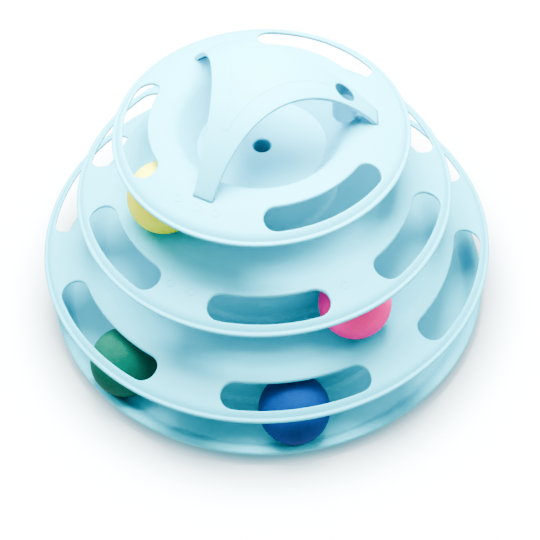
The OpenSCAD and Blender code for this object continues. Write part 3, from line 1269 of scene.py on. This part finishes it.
@dataclass
class SafetyBar:
    """The curved three-legged bar with its crown panel, hooks and wand socket."""
    top: TopTier
    crown_h: float = 35.8
    leg_rise: float = 8.5
    side_draw: float = 11.0
    bar_power: float = 2.2
    panel_margin: float = 10.0
    panel_short: float = 25.0
    panel_rise: float = 0.16
    panel_share: float = 0.7
    panel_tip: float = 0.25
    hook_reach: float = 1.1
    hook_h: float = 1.3
    hook_side: float = 0.2
    hook_toe: float = 0.1
    hook_round: float = 0.15
    socket_inset: float = 17.0
    socket_foot_r: float = 4.0
    socket_share: float = 0.6
    floor_round: float = 0.5
    mouth_round: float = 0.45
    edge_round: float = 0.55
    edge_degrees: float = 60.0
    bore_near: float = 0.05
    face_near: float = 0.25
    across_steps: int = 20
    along_steps: int = 34
    down_steps: int = 6
    round_steps: int = 72
    dome_steps: int = 48
    dome_columns: int = 120

    @property
    def foot_z(self) -> float:
        """Height at which the dome meets the legs."""
        return self.top.sizes.rim_z(self.top.tier) + self.leg_rise

    @property
    def crown_z(self) -> float:
        """Height of the crown."""
        return self.foot_z + self.crown_h

    @property
    def hook_top(self) -> float:
        """Height of the upper face of the hooks."""
        s, t = self.top.sizes, self.top
        return s.rim_z(t.tier) + s.top_rise(t.leg_inset - self.hook_reach) - s.wall - t.leg_gap

    @property
    def inset(self) -> float:
        """How near the bar's long sides pass to the axis."""
        half = LEG_HALF - math.degrees(math.asin(self.top.leg_w / 2 / self.top.leg_reach))
        return self.top.leg_reach * math.cos(math.radians(half)) - self.side_draw

    def dome(self, radius: float) -> float:
        """Returns the height of the bar's outer face at a radius."""
        share = min(1.0, radius / self.top.leg_reach)
        return self.foot_z + self.crown_h * (1 - share ** self.bar_power)

    def leg_sheet(self, reach: float, end_w: float, inset: float, rise: float, down: int) -> bmesh.types.BMesh:
        """Makes a sheet that follows the dome from the axis out along one leg.

        Args:
            reach: how far the leg reaches out.
            end_w: the leg's width at its end.
            inset: how near its sides pass to the axis.
            rise: how far it stands above the dome.
            down: mesh rows that go on straight down to the hooks.

        Returns:
            The sheet, in millimetres.
        """
        along, across = self.along_steps, self.across_steps
        half = LEG_HALF - math.degrees(math.asin(end_w / 2 / reach))
        side_r = (reach ** 2 - inset ** 2) / 2 / (reach * math.cos(math.radians(half)) - inset)
        centre = polar(side_r, -LEG_HALF)
        corner = polar(reach, half - LEG_HALF)
        start, finish = 180 - LEG_HALF, math.degrees(math.atan2(corner.y - centre.y, corner.x - centre.x))
        drop = self.dome(reach) - (self.hook_top - self.hook_h)
        sheet = bmesh.new()
        bmesh.ops.create_grid(sheet, x_segments=across, y_segments=along + down, size=0.5)
        for vert in sheet.verts:
            u = round((vert.co.x + 0.5) * across) / across * 2 - 1
            row = round((vert.co.y + 0.5) * (along + down))
            share = min(1.0, row / along)
            side = centre + polar(side_r - inset, start + (finish - start) * share)
            edge = side if u < 0 else Vector((side.x, -side.y))
            point = Vector((reach * share, 0)).lerp(edge, abs(u))
            height = self.dome(point.length) + rise - drop * max(0, row - along) / max(1, down)
            vert.co = (point.x, point.y, height)
        return sheet

    def star(self, sheet: bmesh.types.BMesh, thickness: float) -> bmesh.types.BMesh:
        """Makes a three-pointed shell from the sheet of one leg.

        Args:
            sheet: the sheet, which becomes the shell.
            thickness: the shell's thickness.

        Returns:
            The shell, in millimetres.
        """
        repeated(sheet, LEGS)
        bmesh.ops.recalc_face_normals(sheet, faces=sheet.faces)
        if sum(face.normal.z for face in sheet.faces) < 0:
            bmesh.ops.reverse_faces(sheet, faces=sheet.faces)
        bmesh.ops.solidify(sheet, geom=list(sheet.faces), thickness=thickness)
        bmesh.ops.recalc_face_normals(sheet, faces=sheet.faces)
        sheet.normal_update()
        rims = [edge for edge in sheet.edges
                if len(edge.link_faces) == 2 and edge.calc_face_angle(0) > math.radians(self.edge_degrees)]
        softened(sheet, rims, min(self.edge_round, thickness / 3))
        return sheet

    def placed(self, name: str, bm: bmesh.types.BMesh) -> bpy.types.Object:
        """Turns a mesh in millimetres to the bar's bearing and makes it an object.

        Args:
            name: the object's name.
            bm: the mesh.

        Returns:
            The object, in metres.
        """
        turned(bm, math.radians(self.top.bearing))
        stretched(bm, MM, MM, MM)
        return solid_object(name, bm, self.top.material)

    def upright(self, name: str, line: Sequence[Vector]) -> bpy.types.Object:
        """Makes a solid that is turned about the socket's axis.

        Args:
            name: the object's name.
            line: its section, from the axis round to the axis again.

        Returns:
            The object.
        """
        bm = lathed(line, self.round_steps)
        shifted(bm, self.top.leg_reach - self.socket_inset, 0, 0)
        return self.placed(name, bm)

    def hook(self, leg: int) -> bpy.types.Object:
        """Makes the wedge under one leg that springs out below the top tier.

        Args:
            leg: the leg's number.

        Returns:
            The hook.
        """
        t = self.top
        wide, middle = t.bar_t / 2 + self.hook_reach, self.hook_top - self.hook_h / 2
        bm = bmesh.new()
        bmesh.ops.create_cube(bm, size=1.0)
        stretched(bm, wide, t.leg_w - 2 * self.hook_side, self.hook_h)
        shifted(bm, t.leg_reach - t.bar_t / 2 + wide / 2, 0, middle)
        for vert in bm.verts:
            if vert.co.z < middle and vert.co.x > t.leg_reach:
                vert.co.x = t.leg_reach + self.hook_toe
        softened(bm, list(bm.edges), self.hook_round, 2)
        turned(bm, math.tau * leg / LEGS)
        return self.placed(f"hook_{leg + 1}", bm)

    def build(self) -> bpy.types.Object:
        """Builds the bar.

        Returns:
            The piece, which stands for the bar's solid.
        """
        t, s = self.top, self.top.sizes
        bar = self.placed("bar_shell", self.star(
            self.leg_sheet(t.leg_reach, t.leg_w, self.inset, 0.0, self.down_steps), t.bar_t))
        panel = self.placed("crown_panel", self.star(
            self.leg_sheet(t.leg_reach - self.panel_short, t.leg_w * self.panel_tip,
                           self.inset - self.panel_margin, self.panel_rise, 0), t.bar_t * self.panel_share))
        low = s.crest(t.tier).y
        foot = Vector((s.socket_r - self.socket_foot_r, low + self.socket_foot_r))
        tube = self.upright("tube", [Vector((0, low)), *arc(foot, self.socket_foot_r, 270, 360, CURVE_STEPS),
                                     Vector((s.socket_r, self.crown_z)), Vector((0, self.crown_z))])
        combined(tube, self.placed("under_dome", self.under_dome()), Way.TRIM)
        combined(bar, tube, Way.JOIN)
        floor, mouth = low + s.wand_wall, self.crown_z + s.wall
        hole = rounded([(0, floor, 0), (s.bore_r, floor, self.floor_round), (s.bore_r, mouth, 0), (0, mouth, 0)])
        combined(bar, self.upright("bore", hole), Way.CUT)
        self.round_mouth(bar)
        declared(bar, TOWER, PLASTIC, "safety_bar")
        for piece in [panel] + [self.hook(leg) for leg in range(LEGS)]:
            declared(piece, TOWER, PLASTIC)
        return bar

    def under_dome(self) -> bmesh.types.BMesh:
        """Makes the solid below the middle of the bar's thickness, which trims the socket's tube.

        Returns:
            The mesh, in millimetres.
        """
        reach, below = self.top.leg_reach, self.foot_z - self.crown_h
        line = [Vector((0, below)), Vector((reach, below))]
        for i in range(self.dome_steps, -1, -1):
            radius = reach * i / self.dome_steps
            line.append(Vector((radius, self.dome(radius) - self.top.bar_t * self.socket_share)))
        return lathed(line, self.dome_columns)

    def round_mouth(self, bar: bpy.types.Object) -> None:
        """Rounds the edge where the socket's bore breaks through the leg's outer face.

        Args:
            bar: the bar, whose mesh is changed.
        """
        place, bore_r = Vector(((self.top.leg_reach - self.socket_inset) * MM, 0, 0)), self.top.sizes.bore_r
        axis = Matrix.Rotation(math.radians(self.top.bearing), 3, "Z") @ place
        bm = bmesh.new()
        bm.from_mesh(bar.data)

        def on_mouth(vert: bmesh.types.BMVert) -> bool:
            """Says whether a corner lies on the mouth's edge."""
            off, out = (math.hypot(vert.co.x - spot.x, vert.co.y - spot.y) / MM for spot in (axis, Vector()))
            return abs(off - bore_r) < self.bore_near and abs(vert.co.z / MM - self.dome(out)) < self.face_near

        mouth = [edge for edge in bm.edges if all(on_mouth(vert) for vert in edge.verts)]
        LOG.info("mouth edges: %d", len(mouth))
        softened(bm, mouth, self.mouth_round * MM)
        bm.to_mesh(bar.data)
        bm.free()
        smoothed(bar.data)


@dataclass
class PinMarks:
    """The faint round lines that ejector pins leave on the tiers' top faces."""
    sizes: TowerSizes
    material: bpy.types.Material
    places: tuple[tuple[int, float, float], ...] = (
        (2, 65.5, 229.0), (2, 65.5, 239.0), (2, 65.5, 248.0), (1, 86.0, 234.5), (1, 86.0, 242.7), (1, 86.0, 297.3))
    ring_r: float = 2.0
    wire_r: float = 0.22
    wire_sides: int = 8
    ring_steps: int = 32
    sunk: float = 0.04
    slope_run: float = 0.5

    def ring(self, tier: int, radius: float, bearing: float) -> bmesh.types.BMesh:
        """Makes one ring that lies on a tier.

        Args:
            tier: the tier's number.
            radius: the ring's distance from the axis.
            bearing: its bearing.

        Returns:
            The ring, in millimetres.
        """
        line = self.sizes.rim_line(tier)
        outer, inner = height_at(line, radius + self.slope_run), height_at(line, radius - self.slope_run)
        slope = math.atan((outer - inner) / (2 * self.slope_run))
        bm = bmesh.new()
        bmesh.ops.create_circle(bm, cap_ends=False, segments=self.wire_sides, radius=self.wire_r)
        turned(bm, math.pi / 2, "X")
        shifted(bm, self.ring_r, 0, 0)
        spun(bm, self.ring_steps)
        turned(bm, -slope, "Y")
        shifted(bm, radius, 0, height_at(line, radius) - self.sunk)
        turned(bm, math.radians(bearing))
        return bm

    def build(self) -> bpy.types.Object:
        """Builds all the rings.

        Returns:
            The rings as one piece.
        """
        whole = bmesh.new()
        for place in self.places:
            added(whole, self.ring(*place))
        bmesh.ops.recalc_face_normals(whole, faces=whole.faces)
        stretched(whole, MM, MM, MM)
        return declared(solid_object("pin_marks", whole, self.material), TOWER, PLASTIC)


@dataclass
class Ball:
    """A loose ball of two halves, with a hair-fine parting line."""
    name: str
    material: bpy.types.Material
    pole: Place
    seam_depth: float = 0.03
    seam_half: float = 0.12
    seam_middle: float = 0.1
    equator_near: float = 0.001
    columns: int = 96
    rows: int = 64
    sharp: float = 60.0

    def build(self) -> bpy.types.Object:
        """Builds the ball.

        Returns:
            The piece, which stands for the ball's solid.
        """
        low, high = (Vector(corner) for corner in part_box(self.name))
        radius, seam = (high.z - low.z) / 2, self.seam_half * MM
        bm = bmesh.new()
        bmesh.ops.create_uvsphere(bm, u_segments=self.columns, v_segments=self.rows, radius=radius)
        near = radius * self.equator_near
        equator = [edge for edge in bm.edges if all(abs(vert.co.z) < near for vert in edge.verts)]
        softened(bm, equator, seam, 2)
        for vert in bm.verts:
            if abs(vert.co.z) < seam * self.seam_middle:
                vert.co *= 1 - self.seam_depth * MM / radius
        turn = Vector((0, 0, 1)).rotation_difference(Vector(self.pole)).to_matrix()
        bmesh.ops.rotate(bm, cent=(0, 0, 0), matrix=turn, verts=bm.verts)
        shifted(bm, *((low + high) / 2))
        piece = solid_object(self.name.replace("_ball", "_sphere"), bm, self.material, self.sharp)
        return declared(piece, self.name, self.name, self.name)


@dataclass
class Pad:
    """A rubber foot pad with a softened lower edge."""
    node: str
    material: bpy.types.Material
    edge_round: float = 0.4
    columns: int = 48

    def build(self) -> bpy.types.Object:
        """Builds the pad.

        Returns:
            The piece, which stands for the pad's solid.
        """
        low, high = (Vector(corner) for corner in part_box(self.node))
        radius = (high.x - low.x) / 2
        bm = bmesh.new()
        bmesh.ops.create_cone(bm, cap_ends=True, segments=self.columns, radius1=radius, radius2=radius,
                              depth=high.z - low.z)
        foot = [edge for edge in bm.edges if all(vert.co.z < 0 for vert in edge.verts)]
        softened(bm, foot, self.edge_round * MM)
        shifted(bm, *((low + high) / 2))
        piece = solid_object(self.node.replace("foot_pad", "pad"), bm, self.material)
        return declared(piece, TOWER, "pad_rubber", self.node)


# Studio

@dataclass(frozen=True)
class Lamp:
    """A soft square light that looks at the toy."""
    name: str
    place: Place
    size: float
    watts: float
    aim: Place = (0.0, 0.0, 0.07)

    def build(self) -> None:
        """Adds the light, which the camera doesn't see."""
        light = bpy.data.lights.new(self.name, "AREA")
        light.size = self.size
        light.energy = self.watts
        lamp = bpy.data.objects.new(self.name, light)
        place = Vector(self.place)
        look = (Vector(self.aim) - place).to_track_quat("-Z", "Y")
        lamp.matrix_world = Matrix.Translation(place) @ look.to_matrix().to_4x4()
        lamp.visible_camera = False
        bpy.context.scene.collection.objects.link(lamp)


@dataclass(frozen=True)
class Studio:
    """The pale floor, the soft lights and the camera."""
    focal_px: float = 1578.0
    frame_px: float = 540.0
    sensor_mm: float = 36.0
    clip_m: tuple[float, float] = (0.05, 20.0)
    distance_mm: float = 918.14
    elevation: float = 51.02
    roll: float = -2.513
    shift_right_mm: float = 1.37
    shift_up_mm: float = 1.95
    base_rim_mm: float = 8.2
    floor_half_m: float = 6.0
    floor_tint: Colour = (0.3, 0.3, 0.3)
    floor_roughness: float = 0.9
    glow: float = 14.0
    # Painted contact shadow on the floor round the toy, with a cyan painted fringe that fades to white.
    shade_tint: Colour = (0.0, 0.015, 0.02)
    shade_start: float = 0.119
    shade_end: float = 0.157
    shadow_fringe_tint: Colour = (0.62, 0.9, 1.0)
    shadow_fringe_end: float = 0.19
    lamps: tuple[Lamp, ...] = (
        Lamp("overhead", (0.01, 0.08, 0.48), 0.3, 32.0),
        Lamp("overhead_left", (-0.15, 0.06, 0.46), 0.25, 2.5),
        Lamp("high", (0.0, 0.0, 0.75), 0.5, 3.0),
        Lamp("high_back_right", (0.364, 0.21, 0.78), 0.45, 4.0),
        Lamp("high_front_left", (-0.364, -0.21, 0.78), 0.45, 3.5),
        Lamp("back_left", (-0.566, 0.566, 0.5), 0.5, 10.5),
        Lamp("back_right", (0.566, 0.566, 0.5), 0.5, 7.0),
        Lamp("front_left", (-0.566, -0.566, 0.4), 0.5, 3.5),
        Lamp("left", (-0.8, 0.0, 0.5), 0.5, 3.5),
        Lamp("right", (0.8, 0.0, 0.5), 0.5, 12.5),
        Lamp("front", (0.1, -0.75, 0.22), 0.7, 1.2),
        Lamp("floor_bounce", (0.0, 0.0, -0.02), 2.0, 30.0),
    )

    def camera(self) -> None:
        """Adds the camera at the photograph's viewing angle."""
        tilt, roll = math.radians(self.elevation), math.radians(self.roll)
        forward = Vector((0, math.cos(tilt), -math.sin(tilt)))
        right, up = Vector((1, 0, 0)), Vector((0, math.sin(tilt), math.cos(tilt)))
        place = -forward * self.distance_mm + right * self.shift_right_mm + up * self.shift_up_mm
        place.z += self.base_rim_mm
        rolled_right = right * math.cos(roll) + up * math.sin(roll)
        rolled_up = up * math.cos(roll) - right * math.sin(roll)
        lens = bpy.data.cameras.new("camera")
        lens.sensor_width = self.sensor_mm
        lens.sensor_fit = "HORIZONTAL"
        lens.lens = self.focal_px / self.frame_px * lens.sensor_width
        lens.clip_start, lens.clip_end = self.clip_m
        camera = bpy.data.objects.new("camera", lens)
        basis = Matrix((rolled_right, rolled_up, -forward)).transposed()
        camera.matrix_world = Matrix.Translation(place * MM) @ basis.to_4x4()
        bpy.context.scene.collection.objects.link(camera)
        bpy.context.scene.camera = camera

    def floor(self) -> None:
        """Adds the white floor, whose own glow carries a painted contact shadow: dark near the toy, cyan at the
        shadow's fringe, and white further away.
        """
        bm = bmesh.new()
        bmesh.ops.create_grid(bm, x_segments=1, y_segments=1, size=self.floor_half_m)
        mesh = bpy.data.meshes.new("floor")
        bm.to_mesh(mesh)
        bm.free()
        finish = Finish("floor", self.floor_tint, self.floor_roughness,
                        {"Specular IOR Level": 0.0, "Emission Strength": self.glow})
        length = finish.node("ShaderNodeVectorMath", {"operation": "LENGTH"}, {0: finish.place})
        away = Shade(finish.tree, length.outputs["Value"])
        # Painted contact shadow: the glow's colour is dark near the toy, cyan at the fringe, and white further
        # away.
        outer = finish.mixed(finish.fade(away, self.shade_start, self.shadow_fringe_end), self.shadow_fringe_tint, WHITE)
        finish.feed("Emission Color", finish.mixed(finish.fade(away, self.shade_start, self.shade_end),
                                                   self.shade_tint, outer))
        mesh.materials.append(finish.material)
        floor = bpy.data.objects.new("floor", mesh)
        floor.visible_diffuse = False
        floor.visible_glossy = False
        floor.visible_shadow = False
        bpy.context.scene.collection.objects.link(floor)

    def sky(self) -> None:
        """Adds white surroundings that only the camera sees."""
        world = bpy.data.worlds.new("studio")
        world.use_nodes = True
        background = world.node_tree.nodes["Background"]
        background.inputs[0].default_value = (*WHITE, 1)
        background.inputs[1].default_value = self.glow
        world.cycles_visibility.diffuse = False
        world.cycles_visibility.glossy = False
        bpy.context.scene.world = world

    def build(self) -> None:
        """Adds the whole studio."""
        self.camera()
        self.floor()
        self.sky()
        for lamp in self.lamps:
            lamp.build()


def main() -> None:
    """Builds every piece in order."""
    logging.basicConfig(level=logging.INFO, format="%(name)s: %(message)s")
    Studio().build()
    sizes = TowerSizes()
    aqua = MouldedPlastic().build()
    top = TopTier(sizes, aqua)
    Tray(sizes, aqua).build()
    RingTier(sizes, aqua, tier=0, node="lower_tier", bearing=36.5, seat=sizes.seat_z(1),
             hole_r=sizes.collar_hole(1), has_collar=True).build()
    RingTier(sizes, aqua, tier=1, node="middle_tier", bearing=30.0, seat=top.bowl_low,
             hole_r=top.plug_r + sizes.plug_gap, has_collar=False).build()
    top.build()
    SafetyBar(top).build()
    PinMarks(sizes, aqua).build()
    for look in BallLook:
        name = f"{look.name.lower()}_ball"
        *tints, pole = look.value
        Ball(name, SpeckledBall(name, *tints).build(), pole).build()
    rubber = PadRubber().build()
    for i in range(PADS):
        Pad(f"foot_pad_{i + 1}", rubber).build()


if __name__ == "__main__":
    main()
